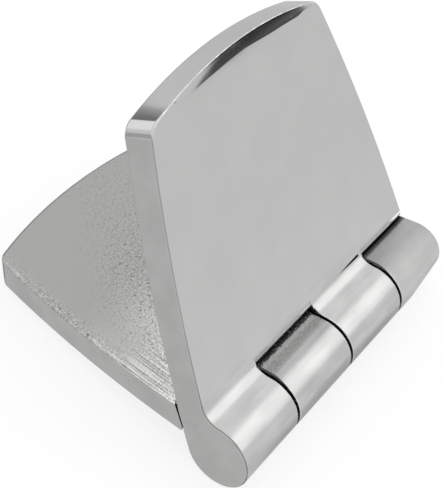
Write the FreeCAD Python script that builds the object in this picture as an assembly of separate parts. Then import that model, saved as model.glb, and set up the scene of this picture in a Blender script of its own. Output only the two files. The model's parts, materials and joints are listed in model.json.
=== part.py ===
import FreeCAD, Part
import math
import os

# Cast and polished butt hinge: two leaves with two knuckles each, on one pin.
# All lengths in millimetres, all angles in degrees.
# +X runs along the pin, +Z is up, and the back leaf lies towards +Y on its polished face.
# The origin is on the floor, under the middle of the hinge's box at rest.

# Knuckles, measured along the pin
end_knuckle = 18.9
middle_knuckle = 20.2
knuckle_gap = 0.6

# Barrel and pin
barrel_radius = 7.6
pin_radius = 4.0
running_clearance = 0.05
fitted_clearance = 0.01
blind_wall = 3.5
pin_end_gap = 0.5
ground_drop = 0.85
ground_length = 13.0

# Leaf, measured from the pin's centre line
leaf_length = 72.0
leaf_thickness = 7.15
leaf_end_width = 56.0
end_arc_rise = 3.8
side_bow = 2.0
corner_radius = 4.0
edge_radius = 0.5
root_fillet = 4.6

# Notches that clear the other leaf's knuckles, and the stop that they make
stop_angle = 69.1
stop_clearance = 0.3
notch_chamfer = 1.0

# Strip left beside the notches before the mounting land starts on the rough face
land_margin = 1.7

# Buffed roll-off along the end of the front leaf's polished face
roll_off_width = 2.4
roll_off_angle = 7.0
roll_off_radius = 190.0

# Spare length of the tools that cut past a face, and how near counts as touching
spare = 5.0
touching = 0.02

hinge_width = 2 * end_knuckle + 2 * middle_knuckle + 3 * knuckle_gap
half_width = hinge_width / 2
polished_level = barrel_radius - leaf_thickness
corner_reach = leaf_length - end_arc_rise
quarter_turn = math.pi / 2

# Where the fillet's centre line stands off the pin, and so where the fillet leaves the leaf
fillet_level = polished_level - root_fillet
fillet_reach = math.sqrt((barrel_radius + root_fillet) ** 2 - fillet_level ** 2)


def vec(x, y, z):
    return FreeCAD.Vector(x, y, z)


def arc(start, middle, end):
    return Part.Arc(start, middle, end).toShape()


def line(start, end):
    return Part.LineSegment(start, end).toShape()


def outline_prism():
    """The leaf's outline seen square on, as a prism that trims whatever is cast."""
    end_half = leaf_end_width / 2
    root_left = vec(-half_width, -barrel_radius, 0)
    root_right = vec(half_width, -barrel_radius, 0)
    tip_left = vec(-end_half, corner_reach, 0)
    tip_right = vec(end_half, corner_reach, 0)
    chord = tip_left - root_left
    bow_out = vec(-chord.y, chord.x, 0).normalize() * side_bow
    middle_left = (root_left + tip_left) * 0.5 + bow_out
    middle_right = vec(-middle_left.x, middle_left.y, 0)
    edges = [
        line(root_right, root_left),
        arc(root_left, middle_left, tip_left),
        arc(tip_left, vec(0, leaf_length, 0), tip_right),
        arc(tip_right, middle_right, root_right),
    ]
    height = 2 * (barrel_radius + spare)
    face = Part.Face(Part.Wire(edges))
    prism = face.extrude(vec(0, 0, height))
    prism.translate(vec(0, 0, -height / 2))
    corners = []
    for edge in prism.Edges:
        centre = edge.BoundBox.Center
        upright = edge.BoundBox.ZLength > height / 2
        if upright and centre.y > 0:
            corners.append(edge)
    return prism.makeFillet(corner_radius, corners)


def root_profile(x, radius):
    """Section across the pin: a barrel that the rough face runs off as a tangent, and the
    polished face meets in a hollow fillet. A smaller radius keeps that tangent."""
    centre = barrel_radius - radius
    drop = centre - fillet_level
    reach = math.sqrt((radius + root_fillet) ** 2 - drop ** 2)
    slope = -math.atan2(drop, reach)
    far = leaf_length + spare
    top = vec(x, 0, barrel_radius)
    far_top = vec(x, far, barrel_radius)
    far_bottom = vec(x, far, polished_level)
    fillet_top = vec(x, reach, polished_level)
    inward = (quarter_turn + slope + math.pi) / 2
    fillet_middle = vec(
        x,
        reach + root_fillet * math.cos(inward),
        fillet_level + root_fillet * math.sin(inward),
    )
    meeting = vec(x, radius * math.cos(slope), centre + radius * math.sin(slope))
    under = (slope - 3 * quarter_turn) / 2
    barrel_middle = vec(x, radius * math.cos(under), centre + radius * math.sin(under))
    return Part.Wire([
        line(top, far_top),
        line(far_top, far_bottom),
        line(far_bottom, fillet_top),
        arc(fillet_top, fillet_middle, meeting),
        arc(meeting, barrel_middle, top),
    ])


def plain_casting():
    section = Part.Face(root_profile(-half_width - spare, barrel_radius))
    return section.extrude(vec(hinge_width + 2 * spare, 0, 0))


def ground_casting():
    """The casting with its end knuckle ground to a slight taper on the underside."""
    start = half_width - ground_length
    section = Part.Face(root_profile(-half_width - spare, barrel_radius))
    straight = section.extrude(vec(start + half_width + spare, 0, 0))
    wide = root_profile(start, barrel_radius)
    narrow = root_profile(half_width, barrel_radius - ground_drop)
    tapered = Part.makeLoft([wide, narrow], True, True)
    return straight.fuse(tapered)


def notch_edge(z):
    """Distance from the pin at which a notch's end face stands, at height z in the leaf."""
    angle = math.radians(stop_angle)
    return (barrel_radius + stop_clearance + z * math.cos(angle)) / math.sin(angle)


def notch_cutter(x_low, x_high):
    """Takes out the barrel and the leaf's root where the other leaf's knuckle goes."""
    low = -barrel_radius - spare
    high = barrel_radius + spare
    past_fillet = fillet_reach + spare
    chamfer_top = polished_level + notch_chamfer
    points = [
        vec(x_low, low, low),
        vec(x_low, past_fillet, low),
        vec(x_low, past_fillet, polished_level),
        vec(x_low, notch_edge(polished_level) + notch_chamfer, polished_level),
        vec(x_low, notch_edge(chamfer_top), chamfer_top),
        vec(x_low, notch_edge(high), high),
        vec(x_low, low, high),
        vec(x_low, low, low),
    ]
    section = Part.Face(Part.makePolygon(points))
    return section.extrude(vec(x_high - x_low, 0, 0))


def roll_off_cutter():
    """A shallow cone that dishes the polished face down towards the end of the leaf."""
    reach = roll_off_width + end_arc_rise + spare
    rise = reach * math.tan(math.radians(roll_off_angle))
    foot = vec(0, leaf_length - roll_off_width - roll_off_radius, polished_level)
    cone = Part.makeCone(roll_off_radius, roll_off_radius + reach, rise, foot, vec(0, 0, 1))
    corner = vec(-half_width, leaf_length / 2, polished_level)
    slab = Part.makeBox(hinge_width, leaf_length / 2 + spare, rise, corner)
    return slab.cut(cone)


def bore(radius, x_low, x_high):
    return Part.makeCylinder(radius, x_high - x_low, vec(x_low, 0, 0), vec(1, 0, 0))


def leaf(casting, bore_tool):
    """One leaf, cast flat with its rough face up: middle knuckle at -X, end knuckle at +X."""
    middle_end = -knuckle_gap / 2
    middle_start = middle_end - middle_knuckle
    end_start = half_width - end_knuckle
    body = casting.common(outline_prism())
    body = body.cut(notch_cutter(-half_width - spare, middle_start))
    body = body.cut(notch_cutter(middle_end, end_start))
    return body.cut(bore_tool).removeSplitter()


def polished_rim(body):
    """Edges round the polished face, at the leaf's sides, corners and end."""
    walls = outline_prism().Shells[0]
    rim = []
    for edge in body.Edges:
        box = edge.BoundBox
        in_face = abs(box.ZMin - polished_level) < touching and box.ZLength < touching
        middle = Part.Vertex(edge.valueAt((edge.FirstParameter + edge.LastParameter) / 2))
        if in_face and middle.distToShape(walls)[0] < touching:
            rim.append(edge)
    return rim


def marked_land(body):
    """Splits the rough face along the line where the mounting land starts."""
    start = notch_edge(barrel_radius) + land_margin
    left = vec(-half_width, start, barrel_radius)
    right = vec(half_width, start, barrel_radius)
    split = body.generalFuse([line(left, right)])[0]
    return split.Solids[0]


def rest_tilt():
    """Angle at which the back leaf lies with its barrel and its outer edge on the floor."""
    arm = leaf_length - edge_radius
    offset = polished_level + edge_radius
    drop = barrel_radius - edge_radius
    return math.degrees(math.asin(drop / math.hypot(arm, offset)) + math.atan2(offset, arm))


tilt = rest_tilt()
tilt_angle = math.radians(tilt)
back_reach = leaf_length * math.cos(tilt_angle) + barrel_radius * math.sin(tilt_angle)
pin_y = (barrel_radius - back_reach) / 2
pin_centre = vec(0, pin_y, barrel_radius)
x_axis = vec(1, 0, 0)


def to_rest(body, lift):
    """Sets a piece on the pin line with its own +Y raised by lift degrees."""
    placed = body.copy()
    placed.rotate(vec(0, 0, 0), x_axis, lift)
    placed.translate(pin_centre)
    return placed


def back_leaf():
    tool = bore(pin_radius + fitted_clearance, -half_width - spare, half_width + spare)
    body = leaf(ground_casting(), tool)
    return marked_land(body.makeFillet(edge_radius, polished_rim(body)))


def front_leaf():
    """The same casting turned over, with a blind bore and a buffed end."""
    tool = bore(pin_radius + running_clearance, -half_width - spare, half_width - blind_wall)
    body = leaf(plain_casting(), tool)
    body = body.makeFillet(edge_radius, polished_rim(body)).cut(roll_off_cutter())
    body = marked_land(body)
    body.rotate(vec(0, 0, 0), vec(0, 1, 0), 180)
    return body


def hinge_pin():
    """Driven in from the back leaf's end knuckle and ground flush with it."""
    start = -half_width + blind_wall + pin_end_gap
    return bore(pin_radius, start, half_width + spare).common(outline_prism())


def main():
    os.makedirs("parts", exist_ok=True)
    pieces = {
        "back_leaf": to_rest(back_leaf(), -tilt),
        "front_leaf": to_rest(front_leaf(), stop_angle - tilt),
        "hinge_pin": to_rest(hinge_pin(), -tilt),
    }
    for name, shape in pieces.items():
        shape.exportStep(f"parts/{name}.step")
        box = shape.BoundBox
        print(name, shape.isValid(), len(shape.Solids), round(shape.Volume, 1), box)
    print("pin centre", pin_centre, "tilt", round(tilt, 3))


main()
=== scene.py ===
import json
import math

import bpy
from mathutils import Matrix, Quaternion, Vector


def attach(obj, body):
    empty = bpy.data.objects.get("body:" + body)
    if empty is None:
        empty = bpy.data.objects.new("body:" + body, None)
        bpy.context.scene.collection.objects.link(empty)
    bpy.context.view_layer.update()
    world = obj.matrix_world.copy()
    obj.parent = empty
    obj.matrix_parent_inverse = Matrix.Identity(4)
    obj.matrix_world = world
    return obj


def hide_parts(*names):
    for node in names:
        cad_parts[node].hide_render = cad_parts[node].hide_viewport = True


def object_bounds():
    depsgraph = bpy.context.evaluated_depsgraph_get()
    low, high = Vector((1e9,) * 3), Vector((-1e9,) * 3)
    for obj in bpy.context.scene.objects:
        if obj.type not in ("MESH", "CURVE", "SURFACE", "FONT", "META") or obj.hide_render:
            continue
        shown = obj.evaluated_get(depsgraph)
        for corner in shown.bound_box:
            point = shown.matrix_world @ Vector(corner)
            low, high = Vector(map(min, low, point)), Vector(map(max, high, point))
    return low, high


# A cast stainless hinge. The solids come from the frame; this file gives them their cast,
# ground and polished surfaces, and sets the camera, the lamps and the floor.
# All lengths are in metres.

bl_info = {
    "name": "Cast steel hinge",
    "version": (1, 0, 0),
    "blender": (4, 5, 0),
    "location": "3D View > Sidebar > Hinge",
    "description": "Finishes the two leaves and the pin of a cast hinge and sets them in a studio",
    "category": "Object",
}

MM = 0.001
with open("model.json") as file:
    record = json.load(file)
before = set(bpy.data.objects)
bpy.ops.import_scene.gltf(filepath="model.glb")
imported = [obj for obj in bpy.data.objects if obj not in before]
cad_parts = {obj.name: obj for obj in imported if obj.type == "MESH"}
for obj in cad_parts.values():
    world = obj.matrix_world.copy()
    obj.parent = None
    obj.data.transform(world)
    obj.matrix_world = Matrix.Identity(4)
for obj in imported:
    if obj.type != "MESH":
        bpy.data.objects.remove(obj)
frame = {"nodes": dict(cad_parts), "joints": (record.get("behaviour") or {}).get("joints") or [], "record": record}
cad_low, cad_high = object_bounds()

joint = frame["joints"][0]
pin_point = Vector(joint["pos_m"])
mounts = {mount["name"]: mount for mount in frame["record"]["mounts"]}


def land_frame(mount):
    """Leaf axes from its land: along the pin, out from the pin, and off the rough face."""
    off_face = Vector(mount["axis"])
    out = Vector(mount["pos_m"]) - pin_point
    out = (out - off_face * out.dot(off_face)).normalized()
    return Matrix((out.cross(off_face), out, off_face)).transposed()


# Soft lamps: azimuth, elevation, angle that is full, angle where it has gone, and level added
KEY_LAMP = (50, 42, 5, 30, 0.5)
END_LAMP = (180, 18, 17, 25, 0.3)

WHITE = (1.0, 1.0, 1.0, 1.0)
PAPER = (0.82, 0.82, 0.82, 1.0)

# Level of the white tent low down and high up, and the level at which the camera sees it
TENT_LOW = 0.98
TENT_HIGH = 1.13
TENT_SEEN = 1.04

# How far the camera looks through the floor, at the white surroundings behind it
SEEN_THROUGH = 0.75

# Painted shadow of the hinge on the floor, which only mirrors see: its strength, and where it
# starts, is full, stays full and ends
FLOOR_PAINTED_SHADOW = 0.3
PAINTED_SHADOW_FORWARD = (-64 * MM, -42 * MM, -38 * MM, -22 * MM)
PAINTED_SHADOW_SIDEWAYS = (-44 * MM, -8 * MM, 22 * MM, 34 * MM)

# Dark card before the front leaf's dished end: how far out it stands, its corners as place along
# the pin and height, the heights between which its level changes, and its level at these
ROLL_OFF_CARD_OUT = -22.6 * MM
ROLL_OFF_CARD = (
    (49.5 * MM, 68.5 * MM),
    (-9.6 * MM, 68.5 * MM),
    (47.0 * MM, 77.5 * MM),
    (18.3 * MM, 77.5 * MM),
)
ROLL_OFF_CHANGE = (71.5 * MM, 76 * MM)
ROLL_OFF_LEVELS = (0.21, 0.03)

# Dark card behind the front leaf's near corner: azimuth and elevation, how far it stands from
# the corner, half its width and height, and its level at either side
CORNER = Vector((-27, 0, 67)) * MM
CORNER_CARD_TOWARDS = (156.0, 18)
CORNER_CARD_AWAY = 400 * MM
CORNER_CARD_HALF = (14 * MM, 100 * MM)
CORNER_LEVELS = (0.0, 0.6)

# Along the pin in a leaf's own axes: where its middle knuckle starts and ends, and where its end
# knuckle starts. The front leaf's notches lie before each of these knuckles.
MIDDLE_START = -20.5 * MM
MIDDLE_END = -0.3 * MM
END_START = 21.1 * MM
NOTCHES = ((-cad_high.x, MIDDLE_START), (MIDDLE_END, END_START))

# Painted highlight: a bright line on the front leaf where its polished face meets the notches
NOTCH_HIGHLIGHT = 10.12 * MM

# Painted shade: a dark line in the crease at the root of the front leaf's middle knuckle: how far
# from the pin it runs, and where along the pin it is full and where it ends
CREASE_REACH = 10.35 * MM
CREASE_FULL = -19 * MM
CREASE_END = -8 * MM

# Nicks and burrs on the front leaf's end, painted as shade in the nicks and glints on the burrs:
# place on the leaf, radius, and change of shade
NICK_SHADE_AND_GLINTS = (
    ((28.8 * MM, 65.7 * MM, 0.4 * MM), 0.5 * MM, -0.7),
    ((19.9 * MM, 69.6 * MM, 0.4 * MM), 0.5 * MM, -0.45),
    ((19.6 * MM, 70.3 * MM, 0.6 * MM), 0.3 * MM, 0.5),
    ((10.6 * MM, 71.7 * MM, 0.8 * MM), 0.4 * MM, -0.4),
    ((-2.8 * MM, 71.2 * MM, 0.3 * MM), 0.35 * MM, 0.9),
)

# Outline of a leaf: a side, which is an arc through its root and its outer corner, and the
# arc across the end
SIDE_ROOT = Vector((-39.95, -7.6, 0.0)) * MM
SIDE_CORNER = Vector((-28.0, 68.2, 0.0)) * MM
SIDE_BOW = 2.0 * MM
END_CENTRE = Vector((0.0, -33.06, 0.0)) * MM
END_RADIUS = 105.06 * MM

# Arc from which the dished end of the front leaf falls away
DISH_CENTRE = Vector((0.0, -120.4, 0.0)) * MM
DISH_RADIUS = 190.0 * MM

back_axes = land_frame(mounts["back_leaf_land"])
front_axes = land_frame(mounts["front_leaf_land"])
rough_level = (Vector(mounts["back_leaf_land"]["pos_m"]) - pin_point).dot(back_axes.col[2])

# Patch of the rough face that a belt scored: its middle, where it has gone and where it is full
BELT_PATCH = ((-37 * MM, 16 * MM, rough_level), 19 * MM, 5 * MM)

# Direction in which the cast skin gets smoother, towards one outer corner of the leaf
TOWARDS_CORNER = (-0.826, 0.562, 0.0)

# Knuckle ends that face the joint lie closer to the middle of the pin than this
INNER_ENDS = 0.6 * cad_high.x

# Where a finish starts or ends on a leaf: the end knuckle along the pin, and then, out from the
# pin, the end of the knuckles, the start of the cast skin and the end of the notches
END_KNUCKLE = 0.52 * cad_high.x
PAST_KNUCKLES = 1.2 * rough_level
CAST_START = 1.5 * rough_level
PAST_NOTCHES = 2 * rough_level

# Noise in streaks: how dense it is along the pin, out from it and off the rough face
FINE_BUFFING = (70.0, 1100.0, 1100.0)
BROAD_BUFFING = (120.0, 420.0, 420.0)
BELT_LINES = (3000.0, 150.0, 3000.0)


def side_arc():
    """Centre of the arc along a leaf's side, and its radius."""
    chord = SIDE_CORNER - SIDE_ROOT
    radius = chord.length ** 2 / (8 * SIDE_BOW) + SIDE_BOW / 2
    inward = Vector((chord.y, -chord.x, 0.0)).normalized()
    return (SIDE_ROOT + SIDE_CORNER) / 2 + inward * (radius - SIDE_BOW), radius


SIDE_CENTRE, SIDE_RADIUS = side_arc()


class HingeFinish(bpy.types.PropertyGroup):
    """Sizes and colours of the finish that a user may change."""

    joint_round: bpy.props.FloatProperty(
        name="Joint round",
        description="How far the edges at the joint are rounded over",
        default=0.4 * MM,
        min=0.0,
        unit="LENGTH",
        precision=5,
    )
    edge_round: bpy.props.FloatProperty(
        name="Edge round",
        description="How far the edge of the buffed end is rounded over",
        default=0.18 * MM,
        min=0.0,
        unit="LENGTH",
        precision=5,
    )
    skin_pitch: bpy.props.FloatProperty(
        name="Skin pitch",
        description="Spacing of the grid that carries the cast skin",
        default=0.6 * MM,
        min=0.3 * MM,
        unit="LENGTH",
        precision=5,
    )
    skin_depth: bpy.props.FloatProperty(
        name="Skin depth",
        description="How deep the hollows of the cast skin go",
        default=0.1 * MM,
        min=0.0,
        unit="LENGTH",
        precision=5,
    )
    ground_band: bpy.props.FloatProperty(
        name="Ground band",
        description="Width of the smooth band between the barrel and the cast skin",
        default=3.0 * MM,
        min=0.0,
        unit="LENGTH",
        precision=5,
    )
    polished_colour: bpy.props.FloatVectorProperty(
        name="Polished steel",
        description="Colour of the buffed barrel and outer face",
        default=(0.507, 0.507, 0.503),
        subtype="COLOR",
        size=3,
    )
    ground_colour: bpy.props.FloatVectorProperty(
        name="Ground steel",
        description="Colour of the leaf's sides",
        default=(0.41, 0.41, 0.405),
        subtype="COLOR",
        size=3,
    )
    cast_colour: bpy.props.FloatVectorProperty(
        name="Cast steel",
        description="Colour of the rough inner face",
        default=(0.378, 0.378, 0.373),
        subtype="COLOR",
        size=3,
    )
    # Dark scale inside the joint, which also stands for painted shade there
    scale_and_shade_colour: bpy.props.FloatVectorProperty(
        name="Casting scale",
        description="Colour of the dark scale left inside the joint",
        default=(0.06, 0.06, 0.06),
        subtype="COLOR",
        size=3,
    )


def deselect_all():
    if bpy.context.object and bpy.context.object.mode != "OBJECT":
        bpy.ops.object.mode_set(mode="OBJECT")
    bpy.ops.object.select_all(action="DESELECT")


def pick(piece):
    deselect_all()
    piece.select_set(True)
    bpy.context.view_layer.objects.active = piece


def select_faces(piece, chosen):
    """Leaves the piece in object mode with exactly the chosen faces selected."""
    bpy.ops.object.mode_set(mode="EDIT")
    bpy.ops.mesh.select_mode(type="FACE")
    bpy.ops.mesh.select_all(action="DESELECT")
    bpy.ops.object.mode_set(mode="OBJECT")
    for face in piece.data.polygons:
        face.select = chosen(face)


def merged_copy(node, name):
    """A copy of a CAD piece with its triangles joined into whole faces."""
    piece = bpy.data.objects.new(name, frame["nodes"][node].data.copy())
    bpy.context.scene.collection.objects.link(piece)
    piece.data.materials.clear()
    pick(piece)
    bpy.ops.mesh.customdata_custom_splitnormals_clear()
    bpy.ops.object.mode_set(mode="EDIT")
    bpy.ops.mesh.select_all(action="SELECT")
    bpy.ops.mesh.remove_doubles(threshold=0.001 * MM)
    bpy.ops.mesh.dissolve_limited(angle_limit=math.radians(0.2))
    bpy.ops.object.mode_set(mode="OBJECT")
    return piece


def on_leaf(axes, point):
    """A point in the leaf's own axes, measured from the pin."""
    return axes.transposed() @ (Vector(point) - pin_point)


def is_rough(face, axes):
    level = on_leaf(axes, face.center).z
    return face.normal.dot(axes.col[2]) > 0.99 and abs(level - rough_level) < 0.3 * MM


class HINGE_OT_camera(bpy.types.Operator):
    """Set the camera where the photograph was taken from"""

    bl_idname = "hinge.camera"
    bl_label = "Camera"

    def execute(self, context):
        place = Vector((-184.91, -106.77, 233.52)) * MM
        aim = Vector((-6.51, -7.08, 26.0)) * MM
        roll = math.radians(9.44)
        deselect_all()
        bpy.ops.object.camera_add(location=place)
        camera = context.object
        camera.name = "photo_camera"
        camera.rotation_mode = "QUATERNION"
        level = (aim - place).to_track_quat("-Z", "Y")
        camera.rotation_quaternion = level @ Quaternion((0, 0, 1), roll)
        camera.data.sensor_width = 36.0
        camera.data.lens = 101.6
        camera.data.clip_start = 10 * MM
        camera.data.clip_end = 20.0
        context.scene.camera = camera
        return {"FINISHED"}


def new_material(name):
    material = bpy.data.materials.new(name)
    material.use_nodes = True
    material.node_tree.nodes.clear()
    return material


def add_node(material, kind, **inputs):
    """Adds a shader node and sets the inputs named, with spaces written as underscores."""
    node = material.node_tree.nodes.new(kind)
    for name, value in inputs.items():
        node.inputs[name.replace("_", " ")].default_value = value
    return node


def join(material, source, target):
    material.node_tree.links.new(source, target)


def calc(material, operation, first, second=0.0):
    """A Math node on two values, each of them a socket or a number."""
    node = material.node_tree.nodes.new("ShaderNodeMath")
    node.operation = operation
    for value, target in ((first, node.inputs[0]), (second, node.inputs[1])):
        if isinstance(value, bpy.types.NodeSocket):
            join(material, value, target)
        else:
            target.default_value = value
    return node.outputs[0]


def vector_calc(material, operation, first, second):
    """A Vector Math node on a socket and a fixed vector."""
    node = material.node_tree.nodes.new("ShaderNodeVectorMath")
    node.operation = operation
    join(material, first, node.inputs[0])
    node.inputs[1].default_value = second
    return node


def eased(material, value, start, end, low, high):
    """Runs smoothly from low to high while the value goes from start to end."""
    node = add_node(material, "ShaderNodeMapRange")
    node.interpolation_type = "SMOOTHSTEP"
    for name, number in (("From Min", start), ("From Max", end), ("To Min", low), ("To Max", high)):
        node.inputs[name].default_value = number
    join(material, value, node.inputs["Value"])
    return node.outputs["Result"]


def between(material, value, start, full, still_full, end):
    """One where the value lies between full and still full, fading to nought at both ends."""
    rising = eased(material, value, start, full, 0.0, 1.0)
    falling = eased(material, value, still_full, end, 1.0, 0.0)
    return calc(material, "MULTIPLY", rising, falling)


def mixed(material, share, first, second):
    """Goes from the first shader to the second as the share grows."""
    mix = add_node(material, "ShaderNodeMixShader")
    for source, target in zip((share, first, second), mix.inputs):
        join(material, source, target)
    return mix.outputs[0]


def white_glow(material, level):
    glow = add_node(material, "ShaderNodeEmission", Color=WHITE)
    join(material, level, glow.inputs["Strength"])
    return glow.outputs[0]


def end_material(material, shader):
    """Gives the material its finished shader."""
    out = add_node(material, "ShaderNodeOutputMaterial")
    join(material, shader, out.inputs["Surface"])
    return material


def floor_material():
    """White paper. The camera looks through most of it at the white surroundings, and keeps
    the shadow; mirrors see it white, with a painted shadow along the foot of the barrel."""
    material = new_material("pale_floor")
    place = add_node(material, "ShaderNodeTexCoord").outputs["Object"]
    sideways, forward, _ = parts_of(material, place)
    # Painted shadow of the hinge on the floor, which only mirrors see
    painted_shadow = calc(material, "MULTIPLY", between(material, forward, *PAINTED_SHADOW_FORWARD), FLOOR_PAINTED_SHADOW)
    painted_shadow = calc(material, "MULTIPLY", painted_shadow, between(material, sideways, *PAINTED_SHADOW_SIDEWAYS))
    glow = white_glow(material, calc(material, "SUBTRACT", 1.0, painted_shadow))
    paper = add_node(material, "ShaderNodeBsdfDiffuse", Color=PAPER).outputs[0]
    clear = add_node(material, "ShaderNodeBsdfTransparent").outputs[0]
    paths = add_node(material, "ShaderNodeLightPath").outputs
    through = calc(material, "MULTIPLY", paths["Is Camera Ray"], SEEN_THROUGH)
    mirrored = calc(material, "MAXIMUM", paths["Is Glossy Ray"], paths["Is Transmission Ray"])
    seen = mixed(material, through, paper, clear)
    return end_material(material, mixed(material, mirrored, seen, glow))


def direction(azimuth, elevation):
    """Unit vector; azimuth turns from -Y towards +X, elevation is above the floor."""
    a = math.radians(azimuth)
    e = math.radians(elevation)
    return Vector((math.sin(a) * math.cos(e), -math.cos(a) * math.cos(e), math.sin(e)))


def glow_towards(world, ray, azimuth, elevation, core, reach, level):
    """A soft round lamp far away: full inside the core angle, gone at the reach angle."""
    aim = direction(azimuth, elevation)
    facing = vector_calc(world, "DOT_PRODUCT", ray, aim).outputs["Value"]
    full = math.cos(math.radians(core))
    gone = math.cos(math.radians(reach))
    return eased(world, facing, gone, full, 0.0, level)


def studio_world():
    """An even white tent with a soft lamp on the barrel's side and one behind the leaf's end."""
    world = bpy.data.worlds.new("studio")
    world.use_nodes = True
    world.node_tree.nodes.clear()
    ray = add_node(world, "ShaderNodeTexCoord").outputs["Generated"]
    height = add_node(world, "ShaderNodeSeparateXYZ")
    join(world, ray, height.inputs[0])
    level = eased(world, height.outputs["Z"], 0.0, 0.7, TENT_LOW, TENT_HIGH)
    for lamp in (KEY_LAMP, END_LAMP):
        level = calc(world, "ADD", level, glow_towards(world, ray, *lamp))
    shade = add_node(world, "ShaderNodeBackground", Color=WHITE)
    paths = add_node(world, "ShaderNodeLightPath").outputs
    white = calc(world, "MULTIPLY", paths["Is Camera Ray"], TENT_SEEN)
    unseen = calc(world, "SUBTRACT", 1.0, paths["Is Camera Ray"])
    strength = calc(world, "ADD", calc(world, "MULTIPLY", level, unseen), white)
    join(world, strength, shade.inputs["Strength"])
    out = add_node(world, "ShaderNodeOutputWorld")
    join(world, shade.outputs[0], out.inputs["Surface"])
    return world


def dark_card(name, corners, start, end, levels):
    """A grey card that the polished steel mirrors from its front and nothing else sees. Its
    level changes from the start point to the end point."""
    deselect_all()
    bpy.ops.mesh.primitive_plane_add()
    card = bpy.context.object
    card.name = name
    for vertex, corner in zip(card.data.vertices, corners):
        vertex.co = corner
    material = new_material(name)
    place = add_node(material, "ShaderNodeTexCoord").outputs["Object"]
    run = (end - start) / (end - start).length_squared
    across = vector_calc(material, "DOT_PRODUCT", place, run).outputs["Value"]
    level = eased(material, across, start.dot(run), end.dot(run), *levels)
    glow = white_glow(material, level)
    clear = add_node(material, "ShaderNodeBsdfTransparent").outputs[0]
    from_behind = add_node(material, "ShaderNodeNewGeometry").outputs["Backfacing"]
    end_material(material, mixed(material, from_behind, glow, clear))
    card.data.materials.append(material)
    card.visible_camera = False
    card.visible_diffuse = False
    card.visible_shadow = False


def roll_off_card():
    """Makes the dark lens that the dished end of the front leaf mirrors."""
    corners = [Vector((x, ROLL_OFF_CARD_OUT, z)) for x, z in ROLL_OFF_CARD]
    low, high = (Vector((0, ROLL_OFF_CARD_OUT, z)) for z in ROLL_OFF_CHANGE)
    dark_card("roll_off_card", corners, low, high, ROLL_OFF_LEVELS)


def corner_card():
    """Makes the dark band on the end of the front leaf, next to its near corner."""
    half_width, half_height = CORNER_CARD_HALF
    behind = direction(*CORNER_CARD_TOWARDS)
    centre = CORNER + behind * CORNER_CARD_AWAY
    across = Vector((0, 0, 1)).cross(behind).normalized() * half_width
    rise = behind.cross(across).normalized() * half_height
    corners = [centre + across * x + rise * y for x, y in ((1, -1), (-1, -1), (1, 1), (-1, 1))]
    dark_card("corner_card", corners, centre + across, centre - across, CORNER_LEVELS)


class HINGE_OT_stage(bpy.types.Operator):
    """Lay the floor and set the pale surroundings and the two dark cards"""

    bl_idname = "hinge.stage"
    bl_label = "Studio"

    def execute(self, context):
        deselect_all()
        bpy.ops.mesh.primitive_plane_add(size=6.0)
        floor = context.object
        floor.name = "floor"
        floor.data.materials.append(floor_material())
        roll_off_card()
        corner_card()
        context.scene.world = studio_world()
        context.scene.view_settings.view_transform = "Standard"
        return {"FINISHED"}


def leaf_position(material, axes):
    """Object coordinates turned into the leaf's own, measured from the pin."""
    place = add_node(material, "ShaderNodeTexCoord")
    turn = add_node(material, "ShaderNodeMapping")
    back = axes.transposed()
    turn.inputs["Rotation"].default_value = back.to_euler()
    turn.inputs["Location"].default_value = -(back @ pin_point)
    join(material, place.outputs["Object"], turn.inputs["Vector"])
    return turn.outputs["Vector"]


def parts_of(material, position):
    """The three coordinates of a position. In a leaf's own axes they run along the pin, out
    from the pin, and off the rough face."""
    split = add_node(material, "ShaderNodeSeparateXYZ")
    join(material, position, split.inputs[0])
    return split.outputs["X"], split.outputs["Y"], split.outputs["Z"]


def noise(material, position, scale, detail=3.0, roughness=0.5):
    """Cloudy noise; a scale of three factors stretches it into streaks."""
    if not isinstance(scale, (int, float)):
        position = vector_calc(material, "MULTIPLY", position, scale).outputs[0]
        scale = 1.0
    texture = add_node(material, "ShaderNodeTexNoise", Scale=scale, Detail=detail, Roughness=roughness)
    join(material, position, texture.inputs["Vector"])
    return texture.outputs["Fac"]


def ranged(material, value, low, high):
    """Maps noise, which stays near its middle, onto the range from low to high."""
    return eased(material, value, 0.3, 0.7, low, high)


def near(material, position, centre, reach, core=0.0):
    """One within the core of the centre, fading to nought at the reach."""
    away = vector_calc(material, "DISTANCE", position, centre).outputs["Value"]
    return eased(material, away, core, reach, 1.0, 0.0)


def inside_outline(material, position):
    """How far a point is inside a leaf's sides, inside the arc of its end, and inside the arc
    from which the dished end falls away."""
    along, out_from_pin, _ = parts_of(material, position)
    mirrored = calc(material, "MULTIPLY", calc(material, "ABSOLUTE", along), -1.0)
    flat = add_node(material, "ShaderNodeCombineXYZ")
    join(material, mirrored, flat.inputs["X"])
    join(material, out_from_pin, flat.inputs["Y"])
    arcs = ((SIDE_CENTRE, SIDE_RADIUS), (END_CENTRE, END_RADIUS), (DISH_CENTRE, DISH_RADIUS))
    inside = []
    for centre, radius in arcs:
        away = vector_calc(material, "DISTANCE", flat.outputs[0], centre).outputs["Value"]
        inside.append(calc(material, "SUBTRACT", radius, away))
    return inside


def thin_line(material, distance, place, half_width, fade):
    """One along a line where the distance equals the place, with soft sides."""
    off_line = calc(material, "ABSOLUTE", calc(material, "SUBTRACT", distance, place))
    return eased(material, off_line, half_width, half_width + fade, 1.0, 0.0)


def bumped(material, height, distance, under=None):
    bump = add_node(material, "ShaderNodeBump", Strength=1.0, Distance=distance)
    join(material, height, bump.inputs["Height"])
    if under is not None:
        join(material, under, bump.inputs["Normal"])
    return bump.outputs["Normal"]


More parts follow.
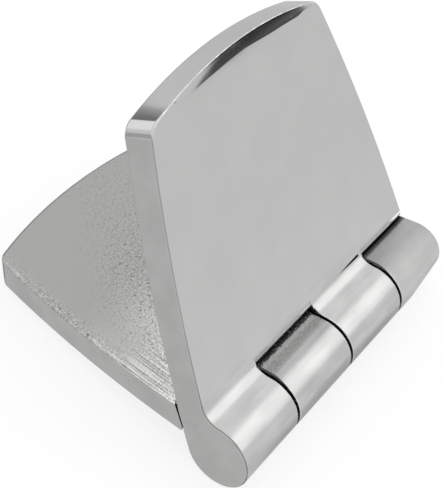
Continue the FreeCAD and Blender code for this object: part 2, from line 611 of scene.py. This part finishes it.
def steel(material, colour, shade, roughness, normal):
    """Metal of the colour, dimmed or brightened by the shade."""
    shader = add_node(material, "ShaderNodeBsdfPrincipled", Metallic=1.0)
    at_most_one = calc(material, "MINIMUM", shade, 1.0)
    grazing = (0.75, 0.75, 0.75)
    for tint, level, name in ((colour, shade, "Base Color"), (grazing, at_most_one, "Specular Tint")):
        tone = add_node(material, "ShaderNodeVectorMath")
        tone.operation = "SCALE"
        tone.inputs[0].default_value = tint
        join(material, level, tone.inputs["Scale"])
        join(material, tone.outputs[0], shader.inputs[name])
    join(material, roughness, shader.inputs["Roughness"])
    join(material, normal, shader.inputs["Normal"])
    return end_material(material, shader.outputs[0])


def buff_streaks(material, position):
    """Long soft streaks along the pin, left by the buffing wheel."""
    fine = noise(material, position, FINE_BUFFING, 1.0)
    broad = noise(material, position, BROAD_BUFFING, 1.0)
    fine_part = calc(material, "MULTIPLY", fine, 0.3)
    return calc(material, "ADD", fine_part, calc(material, "MULTIPLY", broad, 0.7)), broad


def edge_marks(material, position):
    """Painted shade in the nicks and painted glints on the burrs."""
    change = 0.0
    for place, radius, shade in NICK_SHADE_AND_GLINTS:
        mark = calc(material, "MULTIPLY", near(material, position, place, radius), shade)
        change = calc(material, "ADD", mark, change)
    return change


def root_crease_shade(material, position):
    """Painted shade in the crease at the root of the front leaf's middle knuckle, thinning out along it."""
    along, out_from_pin, _ = parts_of(material, position)
    off_line = calc(material, "ABSOLUTE", calc(material, "SUBTRACT", out_from_pin, CREASE_REACH))
    width = eased(material, along, CREASE_FULL, CREASE_END, 0.2 * MM, -0.14 * MM)
    line = eased(material, calc(material, "SUBTRACT", off_line, width), 0.0, 0.14 * MM, 1.0, 0.0)
    beyond = eased(material, along, MIDDLE_START + 0.8 * MM, MIDDLE_START + 1.1 * MM, 0.0, 1.0)
    return calc(material, "MULTIPLY", line, beyond)


def notch_highlight(material, position):
    """Painted highlight: a thin bright line on the front leaf along its two notches."""
    along, out_from_pin, _ = parts_of(material, position)
    line = thin_line(material, out_from_pin, NOTCH_HIGHLIGHT, 0.16 * MM, 0.4 * MM)
    beside = 0.0
    for start, end in NOTCHES:
        middle = (start + end) / 2
        half = (end - start) / 2
        beside = calc(material, "ADD", thin_line(material, along, middle, half, 0.1 * MM), beside)
    return calc(material, "MULTIPLY", line, beside)


def worn_start_shade(material, position):
    """Painted shade on the back leaf's knuckles where their ends are worn back beside a joint gap,
    most of all up at the notches."""
    along, out_from_pin, _ = parts_of(material, position)
    width = eased(material, out_from_pin, -7 * MM, 1 * MM, -0.1 * MM, 0.5 * MM)
    level = 1.0
    for start in (MIDDLE_START, END_START):
        off_start = calc(material, "ABSOLUTE", calc(material, "SUBTRACT", along, start))
        past_wear = calc(material, "SUBTRACT", off_start, width)
        beside = eased(material, past_wear, 0.0, 0.15 * MM, 0.15, 1.0)
        level = calc(material, "MULTIPLY", beside, level)
    past_knuckle = eased(material, out_from_pin, 5 * MM, 7 * MM, 0.0, 1.0)
    return calc(material, "MAXIMUM", level, past_knuckle)


def painted_dish_reflection(material, position):
    """Painted dark reflection: the dish was buffed by hand, so its dark reflection is painted a
    little past the even arc at one end, and painted darkest just under the leaf's edge."""
    along, _, off_face = parts_of(material, position)
    _, from_end, from_dish = inside_outline(material, position)
    past = eased(material, along, -13 * MM, 2 * MM, 0.66 * MM, -0.1 * MM)
    past = calc(material, "SUBTRACT", past, eased(material, along, -24 * MM, -20 * MM, 0.7 * MM, 0.0))
    within = eased(material, calc(material, "SUBTRACT", past, from_dish), 0.0, 0.1 * MM, 0.0, 0.84)
    within = calc(material, "MULTIPLY", within, eased(material, from_dish, 0.0, 0.03 * MM, 0.0, 1.0))
    dark = thin_line(material, from_end, 0.34 * MM, 0.08 * MM, 0.14 * MM)
    dark = calc(material, "MULTIPLY", dark, eased(material, along, -24 * MM, -18 * MM, 0.0, 0.8))
    dark = calc(material, "MULTIPLY", dark, eased(material, along, 6 * MM, 12 * MM, 1.0, 0.0))
    on_face = eased(material, off_face, 2 * MM, 2.5 * MM, 1.0, 0.0)
    return calc(material, "MULTIPLY", calc(material, "ADD", within, dark), on_face)


def front_leaf_marks_and_light(material, position, shade):
    """Adds the front leaf's marks and painted light to the shade: painted dark reflection on its rim,
    nicks with painted shade and glints, painted shade in its crease, a painted highlight at its
    notches and the painted dark reflection of its buffed end."""
    out_from_pin = parts_of(material, position)[1]
    from_side = inside_outline(material, position)[0]
    # Painted dark reflection along the rounded rim of the polished face, weaker further from the pin
    rim = thin_line(material, from_side, 0.16 * MM, 0.05 * MM, 0.12 * MM)
    depth = eased(material, out_from_pin, 6 * MM, 30 * MM, 0.6, 0.38)
    shade = calc(material, "SUBTRACT", shade, calc(material, "MULTIPLY", rim, depth))
    shade = calc(material, "ADD", shade, edge_marks(material, position))
    # Painted shade in the crease at the middle knuckle's root
    shade = calc(material, "SUBTRACT", shade, root_crease_shade(material, position))
    # Painted highlight along the notches
    bright = calc(material, "MULTIPLY", notch_highlight(material, position), 0.95)
    shade = calc(material, "ADD", shade, bright)
    # Painted dark reflection of the buffed dish
    shade = calc(material, "SUBTRACT", shade, painted_dish_reflection(material, position))
    return calc(material, "MAXIMUM", shade, 0.03)


def back_leaf_painted_shade(material, position, shade):
    """Paints shade on the back leaf's knuckles beside the strip that the buffing wheel missed, and
    at their worn starts."""
    _, out_from_pin, off_face = parts_of(material, position)
    # Painted shade on the knuckle beside the unbuffed strip
    by_strip = eased(material, out_from_pin, -2.4 * MM, -1.5 * MM, 0.0, 0.25)
    at_strip = eased(material, out_from_pin, -0.8 * MM, 0.2 * MM, 0.0, 0.2)
    above = eased(material, off_face, 0.0, 3 * MM, 0.0, 1.0)
    less = calc(material, "MULTIPLY", calc(material, "ADD", by_strip, at_strip), above)
    shade = calc(material, "SUBTRACT", shade, less)
    return calc(material, "MULTIPLY", shade, worn_start_shade(material, position))


def polished_steel(name, axes, finish):
    """Buffed steel: faint clouds on the flat, painted light on the flat near the knuckles, streaks
    of the buff on the barrel, and the marks and painted light and shade of either leaf."""
    material = new_material(name)
    position = leaf_position(material, axes)
    out_from_pin = parts_of(material, position)[1]
    on_barrel = eased(material, out_from_pin, 9 * MM, 16 * MM, 1.0, 0.0)
    streaks, broad = buff_streaks(material, position)
    clouds = ranged(material, noise(material, position, 110.0, 2.0), 0.985, 1.015)
    lines = calc(material, "MULTIPLY", ranged(material, streaks, -0.06, 0.08), on_barrel)
    shade = calc(material, "ADD", clouds, lines)
    # Painted light: the flat a little lighter near the knuckles, fading out up the leaf
    foot = eased(material, out_from_pin, 12 * MM, 42 * MM, 0.045, 0.0)
    foot = calc(material, "MULTIPLY", foot, eased(material, out_from_pin, 9 * MM, 15 * MM, 0.0, 1.0))
    shade = calc(material, "ADD", shade, foot)
    marks = front_leaf_marks_and_light if axes is front_axes else back_leaf_painted_shade
    shade = marks(material, position, shade)
    waves = bumped(material, noise(material, position, 160.0, 1.0), 0.02 * MM)
    ridges = calc(material, "MULTIPLY", broad, on_barrel)
    normal = bumped(material, ridges, 0.012 * MM, waves)
    gloss = ranged(material, noise(material, position, 90.0, 2.0), 0.09, 0.13)
    return steel(material, finish.polished_colour, shade, gloss, normal)


def satin_steel(name, axes, finish):
    """The end knuckle, taken down on a belt and left even and dull, with painted light on its
    underside, and painted shade towards the joint, dusky and then black where it goes in under
    the front leaf's notch, and at its worn start."""
    material = new_material(name)
    position = leaf_position(material, axes)
    _, out_from_pin, off_face = parts_of(material, position)
    band = finish.ground_band
    streaks, broad = buff_streaks(material, position)
    grain = noise(material, position, 1500.0, 3.0, 0.6)
    ragged = calc(material, "ADD", out_from_pin, calc(material, "MULTIPLY", grain, 0.5 * MM))
    shade = ranged(material, streaks, 0.76, 0.83)
    # Painted light: the underside lighter
    painted_light_underneath = eased(material, off_face, 2.5 * MM, 7.4 * MM, 1.42, 1.0)
    # Painted shade: a little darker towards the joint
    shade_towards_joint = eased(material, out_from_pin, 0.0, 2 * MM, 1.0, 0.95)
    # Painted shade, dusky and then black, where the knuckle goes in under the front leaf's notch
    dusky = eased(material, ragged, band - 0.1 * MM, band + 0.6 * MM, 1.0, 0.28)
    black = eased(material, out_from_pin, band + 0.8 * MM, band + 1 * MM, 1.0, 0.15)
    # Painted shade where the knuckle's end is worn back beside the joint gap
    worn = worn_start_shade(material, position)
    for change in (painted_light_underneath, shade_towards_joint, dusky, black, worn):
        shade = calc(material, "MULTIPLY", shade, change)
    gloss = ranged(material, noise(material, position, 200.0, 2.0), 0.42, 0.5)
    return steel(material, finish.polished_colour, shade, gloss, bumped(material, broad, 0.01 * MM))


def unbuffed_steel(name, axes, finish):
    """Strip on a knuckle that the buffing wheel missed: dull, a little darker just past the barrel and
    lighter further on, with painted black shade where it goes into the joint under the front
    leaf's notch, and a few bright grains in that black."""
    material = new_material(name)
    position = leaf_position(material, axes)
    out_from_pin = parts_of(material, position)[1]
    band = finish.ground_band
    grain = noise(material, position, 1500.0, 3.0, 0.6)
    ragged = calc(material, "ADD", out_from_pin, calc(material, "MULTIPLY", grain, 0.8 * MM))
    shade = ranged(material, noise(material, position, 2600.0, 2.0), 0.84, 1.16)
    start = eased(material, out_from_pin, 0.0, 0.6 * MM, 1.0, 0.83)
    end = eased(material, out_from_pin, 1.6 * MM, 2.4 * MM, 1.0, 1.25)
    # Painted shade: black where the strip goes into the joint under the front leaf's notch
    black_shade_under_notch = eased(material, ragged, band + 0.2 * MM, band + 0.7 * MM, 1.0, 0.12)
    for change in (start, end, black_shade_under_notch):
        shade = calc(material, "MULTIPLY", shade, change)
    spots = eased(material, noise(material, position, 2300.0, 2.0), 0.55, 0.68, 0.0, 0.7)
    spots = calc(material, "MULTIPLY", spots, calc(material, "SUBTRACT", 1.0, black_shade_under_notch))
    shade = calc(material, "ADD", shade, spots)
    if axes is back_axes:
        # Painted shade where the knuckle ends are worn back beside a joint gap
        shade = calc(material, "MULTIPLY", shade, worn_start_shade(material, position))
    gloss = ranged(material, grain, 0.35, 0.45)
    normal = bumped(material, grain, 0.05 * MM)
    return steel(material, finish.ground_colour, shade, gloss, normal)


def edge_steel(name, axes, finish):
    """Edges that handling has worn bright, broken here and there, and painted brighter than the
    steel as highlights.
    """
    material = new_material(name)
    position = leaf_position(material, axes)
    # Painted highlight: the rounded edges brighter than the steel
    shade = ranged(material, noise(material, position, 700.0, 3.0, 0.6), 1.0, 1.4)
    if axes is front_axes:
        shade = calc(material, "ADD", shade, edge_marks(material, position))
    else:
        # Painted shade where the knuckle ends are worn back beside a joint gap
        shade = calc(material, "MULTIPLY", shade, worn_start_shade(material, position))
    gloss = ranged(material, noise(material, position, 500.0, 2.0), 0.35, 0.5)
    bumps = bumped(material, noise(material, position, 900.0, 2.0), 0.02 * MM)
    return steel(material, finish.polished_colour, shade, gloss, bumps)


def ground_steel(name, axes, finish):
    """Sides taken down on a belt: duller, with short lines along the edge."""
    material = new_material(name)
    position = leaf_position(material, axes)
    shade = ranged(material, noise(material, position, 130.0, 3.0), 0.96, 1.04)
    if axes is front_axes:
        shade = calc(material, "ADD", shade, edge_marks(material, position))
    gloss = ranged(material, noise(material, position, 300.0, 3.0), 0.2, 0.3)
    lines = noise(material, position, BELT_LINES, 3.0)
    return steel(material, finish.ground_colour, shade, gloss, bumped(material, lines, 0.006 * MM))


def coarse_skin(material, out_from_pin, cornerward, from_side, patches):
    """How coarse the cast skin is, and the part of it that runs raggedly along the sides."""
    far = eased(material, cornerward, 33 * MM, 49 * MM, 1.0, 0.12)
    by_height = eased(material, out_from_pin, 30 * MM, 66 * MM, 1.9, 0.6)
    low_down = eased(material, out_from_pin, 18 * MM, 32 * MM, 2.0, 0.0)
    coarse = calc(material, "MULTIPLY", calc(material, "ADD", by_height, low_down), far)
    ragged = calc(material, "ADD", from_side, calc(material, "MULTIPLY", patches, -4 * MM))
    rim = eased(material, ragged, -1.4 * MM, 2.2 * MM, 1.0, 0.0)
    rim = calc(material, "MULTIPLY", rim, eased(material, out_from_pin, 44 * MM, 66 * MM, 1.9, 1.1))
    return calc(material, "MAXIMUM", coarse, rim), rim


def cast_steel(name, axes, finish):
    """Sand-cast skin: smooth towards one outer corner, pitted towards the pin and the other side
    and along the sides, and scored with a belt by the pin; with painted light reflected from the
    front leaf low down, a bright line along the rims of the sides, and painted shade along the
    rim of the end."""
    material = new_material(name)
    position = leaf_position(material, axes)
    out_from_pin = parts_of(material, position)[1]
    from_side, from_end, _ = inside_outline(material, position)
    cornerward = vector_calc(material, "DOT_PRODUCT", position, TOWARDS_CORNER).outputs["Value"]
    belt = near(material, position, *BELT_PATCH)
    patches = noise(material, position, 450.0, 2.0)
    coarse, rim = coarse_skin(material, out_from_pin, cornerward, from_side, patches)
    calm = calc(material, "SUBTRACT", 1.0, calc(material, "MULTIPLY", belt, 0.4))
    coarse = calc(material, "MULTIPLY", coarse, calm)

    grain = noise(material, position, 2100.0, 2.0, 0.6)
    speckle = calc(material, "MULTIPLY", eased(material, grain, 0.36, 0.64, -0.17, 0.19), coarse)
    pits = eased(material, noise(material, position, 1300.0, 1.0), 0.6, 0.69, 0.0, -0.24)
    pits = calc(material, "MULTIPLY", pits, coarse)
    ring = add_node(material, "ShaderNodeCombineXYZ")
    join(material, from_side, ring.inputs["X"])
    join(material, calc(material, "MULTIPLY", out_from_pin, 0.015), ring.inputs["Y"])
    lines = noise(material, ring.outputs[0], 4800.0, 2.0)
    scored = calc(material, "MULTIPLY", eased(material, lines, 0.42, 0.58, -0.55, 0.35), belt)

    # Painted light reflected from the front leaf: lighter low down towards the pin, most away from the smooth
    # corner
    lit = eased(material, out_from_pin, 15 * MM, 45 * MM, 1.0, 0.0)
    by_leaf = eased(material, cornerward, 34 * MM, 44 * MM, 0.86, 0.47)
    lit = calc(material, "MULTIPLY", lit, by_leaf)
    # Lighter along the rounded rim of the sides, most where the belt scored it
    bright_rim_line = thin_line(material, from_side, 0.55 * MM, 0.03 * MM, 0.16 * MM)
    by_belt = calc(material, "MULTIPLY", belt, 0.5)
    brightness = calc(material, "ADD", ranged(material, patches, -0.15, 0.6), by_belt)
    bright_rim_line = calc(material, "MULTIPLY", bright_rim_line, brightness)
    shade = calc(material, "ADD", calc(material, "MULTIPLY", rim, 0.05), 1.0)
    for change in (lit, speckle, pits, scored, bright_rim_line):
        shade = calc(material, "ADD", shade, change)
    # Painted shade: darker along the rounded rim of the end
    outline = eased(material, from_end, 0.35 * MM, 0.8 * MM, 0.58, 1.0)
    shade = calc(material, "MULTIPLY", shade, outline)
    gloss = ranged(material, grain, 0.38, 0.5)
    low = bumped(material, calc(material, "MULTIPLY", grain, coarse), 0.12 * MM)
    normal = bumped(material, calc(material, "MULTIPLY", lines, belt), 0.03 * MM, low)
    return steel(material, finish.cast_colour, shade, gloss, normal)


def scale_and_shade_steel(name, axes, finish):
    """Dark casting scale with a few bright grains in it, which also stands for painted shade in the
    joint, buffed off where the knuckle's blend thins out on the polished face."""
    material = new_material(name)
    position = leaf_position(material, axes)
    _, out_from_pin, off_face = parts_of(material, position)
    grains = eased(material, noise(material, position, 1700.0, 2.0), 0.5, 0.68, 0.8, 5.0)
    thin_blend = eased(material, out_from_pin, 9.2 * MM, 9.7 * MM, 0.0, 8.0)
    by_face = eased(material, off_face, 0.5 * MM, 0.8 * MM, 1.0, 0.0)
    thin_blend = calc(material, "MULTIPLY", thin_blend, by_face)
    grains = calc(material, "ADD", grains, thin_blend)
    gloss = ranged(material, noise(material, position, 900.0, 2.0), 0.4, 0.6)
    normal = bumped(material, noise(material, position, 1200.0, 3.0), 0.1 * MM)
    return steel(material, finish.scale_and_shade_colour, grains, gloss, normal)


def in_joint(place, facing):
    """Whether a face lies in the joint: a knuckle's inner end, the bore or a notch."""
    inner_end = abs(facing.x) > 0.9 and abs(place.x) < INNER_ENDS
    reach = math.hypot(place.y, place.z)
    bore = reach < 0.6 * rough_level and abs(facing.x) < 0.9
    notch = facing.y < -0.8 and 0.9 * rough_level < place.y < PAST_NOTCHES
    return inner_end or bore or notch


FINISHES = (
    polished_steel,
    ground_steel,
    cast_steel,
    scale_and_shade_steel,
    satin_steel,
    unbuffed_steel,
    edge_steel,
)
POLISHED, GROUND, CAST, SCALE, SATIN, UNBUFFED, EDGE = range(len(FINISHES))


def finish_of(place, facing, axes):
    """Which finish a face has, from its place and direction in the leaf's own axes."""
    on_end_knuckle = place.x > END_KNUCKLE and place.y < PAST_KNUCKLES
    depth = rough_level - place.z
    rough = facing.z > 0.99 and depth < 0.3 * MM
    rim = facing.z > 0.05 and depth < 0.55 * MM and place.y > PAST_KNUCKLES
    stop = facing.y < -0.8 and place.x < MIDDLE_START and axes is back_axes
    if in_joint(place, facing):
        return GROUND if stop else SCALE
    chamfer = facing.y < -0.5 and facing.z < -0.5 and rough_level < place.y < PAST_NOTCHES
    if chamfer:
        return EDGE
    if rough or rim:
        if place.y > CAST_START:
            return CAST
        if on_end_knuckle and axes is back_axes:
            return SATIN
        strip_start = 0.0 if axes is back_axes else 0.35 * rough_level
        if place.y > strip_start:
            return UNBUFFED
    if abs(facing.x) > 0.93:
        return GROUND
    if on_end_knuckle and axes is back_axes:
        return SATIN
    return POLISHED


def give_finishes(piece, axes):
    """Gives each face its finish. Rounded edges keep theirs, but for those at a joint gap."""
    for face in piece.data.polygons:
        place = on_leaf(axes, face.center)
        facing = axes.transposed() @ face.normal
        at_gap = abs(facing.x) > 0.7 and abs(place.x) < INNER_ENDS
        if face.material_index != EDGE:
            face.material_index = finish_of(place, facing, axes)
        # Rounded edges at a joint gap take the dark scale, which also stands for painted shade there
        elif at_gap and place.y < CAST_START:
            face.material_index = SCALE


def keep_roll_off_crisp(piece, axes):
    """Marks the line where the buffed roll-off leaves the polished face as a sharp edge."""
    dished = set()
    flat = set()
    for face in piece.data.polygons:
        facing = axes.transposed() @ face.normal
        if facing.z < -0.999:
            flat.update(face.edge_keys)
        elif facing.z < -0.98 and facing.y > 0.08:
            dished.update(face.edge_keys)
    for edge in piece.data.edges:
        if edge.key in dished and edge.key in flat:
            edge.use_edge_sharp = True


def outward_edges(piece):
    """Keys of the edges at which two faces meet in an outward corner."""
    corners = piece.data.vertices
    sides = {}
    for face in piece.data.polygons:
        around = list(face.vertices)
        for first, second in zip(around, around[1:] + around[:1]):
            sides[first, second] = face.normal.copy()
    outward = set()
    for (first, second), facing in sides.items():
        if (second, first) in sides:
            run = corners[first].co - corners[second].co
            if sides[second, first].cross(run).dot(facing) < 0:
                outward.add((min(first, second), max(first, second)))
    return outward


def at_joint(place, run):
    """At the joint, but not where a knuckle's blend thins out beside a notch."""
    by_joint = abs(place.x) < 0.9 * cad_high.x and place.y < 2.2 * rough_level
    on_blend = place.y > 1.25 * rough_level and place.z < 1 * MM
    return by_joint and not (on_blend and abs(run.x) < 0.5 * run.length)


def at_dished_end(place, run):
    """At the far end of the polished face, whichever way the edge runs."""
    return place.y > 60 * MM and place.z < 3 * MM


def round_sharp_edges(piece, axes, wanted, size):
    """Rounds the outward edges that the CAD left sharp at the places wanted."""
    pick(piece)
    bpy.ops.object.mode_set(mode="EDIT")
    bpy.ops.mesh.select_mode(type="EDGE")
    bpy.ops.mesh.select_all(action="DESELECT")
    bpy.ops.mesh.edges_select_sharp(sharpness=math.radians(28))
    bpy.ops.object.mode_set(mode="OBJECT")
    for face in piece.data.polygons:
        face.select = False
    outward = outward_edges(piece)
    corners = piece.data.vertices
    chosen = set()
    for edge in piece.data.edges:
        start, end = (on_leaf(axes, corners[corner].co) for corner in edge.vertices)
        wished = wanted((start + end) / 2, end - start)
        edge.select = edge.select and edge.key in outward and wished
        if edge.select:
            chosen.update(edge.vertices)
    for corner in corners:
        corner.select = corner.index in chosen
    if chosen:
        bpy.ops.object.mode_set(mode="EDIT")
        bpy.ops.mesh.bevel(offset=size, segments=2, profile=0.5, clamp_overlap=False, material=EDGE)
        bpy.ops.object.mode_set(mode="OBJECT")


def grid_rough_face(piece, axes, finish):
    """Cuts the rough face into small squares, each way in turn."""
    select_faces(piece, lambda face: is_rough(face, axes))
    corners = [on_leaf(axes, corner.co) for corner in piece.data.vertices]
    bpy.ops.object.mode_set(mode="EDIT")
    bpy.ops.mesh.hide(unselected=True)
    for side in (0, 1):
        places = [corner[side] for corner in corners]
        low = min(places)
        count = int((max(places) - low) / finish.skin_pitch)
        for step in range(1, count + 1):
            cut = pin_point + axes.col[side] * (low + step * finish.skin_pitch)
            bpy.ops.mesh.select_all(action="SELECT")
            bpy.ops.mesh.bisect(plane_co=cut, plane_no=axes.col[side])
    bpy.ops.mesh.reveal(select=False)
    bpy.ops.object.mode_set(mode="OBJECT")


def roughen(piece, axes, finish):
    """Pushes the grid in and out like the skin of a sand casting."""
    fade = 1.5 * MM
    group = piece.vertex_groups.new(name="cast_skin")
    inner_corners = set()
    outer_corners = set()
    for face in piece.data.polygons:
        corners = inner_corners if is_rough(face, axes) else outer_corners
        corners.update(face.vertices)
    for corner in inner_corners - outer_corners:
        away = on_leaf(axes, piece.data.vertices[corner].co).y - finish.ground_band
        weight = min(1.0, max(0.0, away / fade))
        group.add([corner], weight, "REPLACE")
    grain = bpy.data.textures.new(piece.name + "_grain", "CLOUDS")
    grain.noise_scale = 1.1 * MM
    grain.noise_depth = 3
    push = piece.modifiers.new("cast_grain", "DISPLACE")
    push.texture = grain
    push.texture_coords = "LOCAL"
    push.vertex_group = group.name
    push.mid_level = 0.7
    push.strength = finish.skin_depth
    pick(piece)
    bpy.ops.object.modifier_apply(modifier=push.name)


def finish_leaf(node, name, axes, finish):
    piece = merged_copy(node, name)
    for maker in FINISHES:
        piece.data.materials.append(maker(name + "_" + maker.__name__, axes, finish))
    round_sharp_edges(piece, axes, at_joint, finish.joint_round)
    round_sharp_edges(piece, axes, at_dished_end, finish.edge_round)
    grid_rough_face(piece, axes, finish)
    give_finishes(piece, axes)
    keep_roll_off_crisp(piece, axes)
    roughen(piece, axes, finish)
    pick(piece)
    bpy.ops.object.shade_smooth_by_angle(angle=math.radians(35))
    even = piece.modifiers.new("even_shading", "WEIGHTED_NORMAL")
    even.keep_sharp = True
    even.weight = 100
    bpy.ops.object.modifier_apply(modifier=even.name)
    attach(piece, node)
    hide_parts(node)
    return piece


class HINGE_OT_back_leaf(bpy.types.Operator):
    """Finish the leaf that lies on the floor"""

    bl_idname = "hinge.back_leaf"
    bl_label = "Back leaf"

    def execute(self, context):
        finish_leaf("back_leaf", "back_leaf_casting", back_axes, context.scene.hinge_finish)
        return {"FINISHED"}


class HINGE_OT_front_leaf(bpy.types.Operator):
    """Finish the leaf that stands up"""

    bl_idname = "hinge.front_leaf"
    bl_label = "Front leaf"

    def execute(self, context):
        finish_leaf("front_leaf", "front_leaf_casting", front_axes, context.scene.hinge_finish)
        return {"FINISHED"}


class HINGE_OT_pin(bpy.types.Operator):
    """Give the pin its ground steel"""

    bl_idname = "hinge.pin"
    bl_label = "Pin"

    def execute(self, context):
        pin = frame["nodes"]["hinge_pin"]
        pin.data.materials.clear()
        pin.data.materials.append(ground_steel("pin_ground", back_axes, context.scene.hinge_finish))
        return {"FINISHED"}


class HINGE_PT_panel(bpy.types.Panel):
    """Lists the steps of the finish"""

    bl_label = "Hinge"
    bl_idname = "HINGE_PT_panel"
    bl_space_type = "VIEW_3D"
    bl_region_type = "UI"
    bl_category = "Hinge"

    def draw(self, context):
        finish = context.scene.hinge_finish
        for size in HingeFinish.__annotations__:
            self.layout.prop(finish, size)
        for step in STEPS:
            self.layout.operator(step.bl_idname)


STEPS = (HINGE_OT_camera, HINGE_OT_stage, HINGE_OT_back_leaf, HINGE_OT_front_leaf, HINGE_OT_pin)
CLASSES = (HingeFinish, *STEPS, HINGE_PT_panel)


def register():
    for each in CLASSES:
        bpy.utils.register_class(each)
    bpy.types.Scene.hinge_finish = bpy.props.PointerProperty(type=HingeFinish)


def unregister():
    del bpy.types.Scene.hinge_finish
    for each in reversed(CLASSES):
        bpy.utils.unregister_class(each)


def main():
    register()
    bpy.ops.hinge.camera()
    bpy.ops.hinge.stage()
    bpy.ops.hinge.back_leaf()
    bpy.ops.hinge.front_leaf()
    bpy.ops.hinge.pin()


if __name__ == "__main__":
    main()
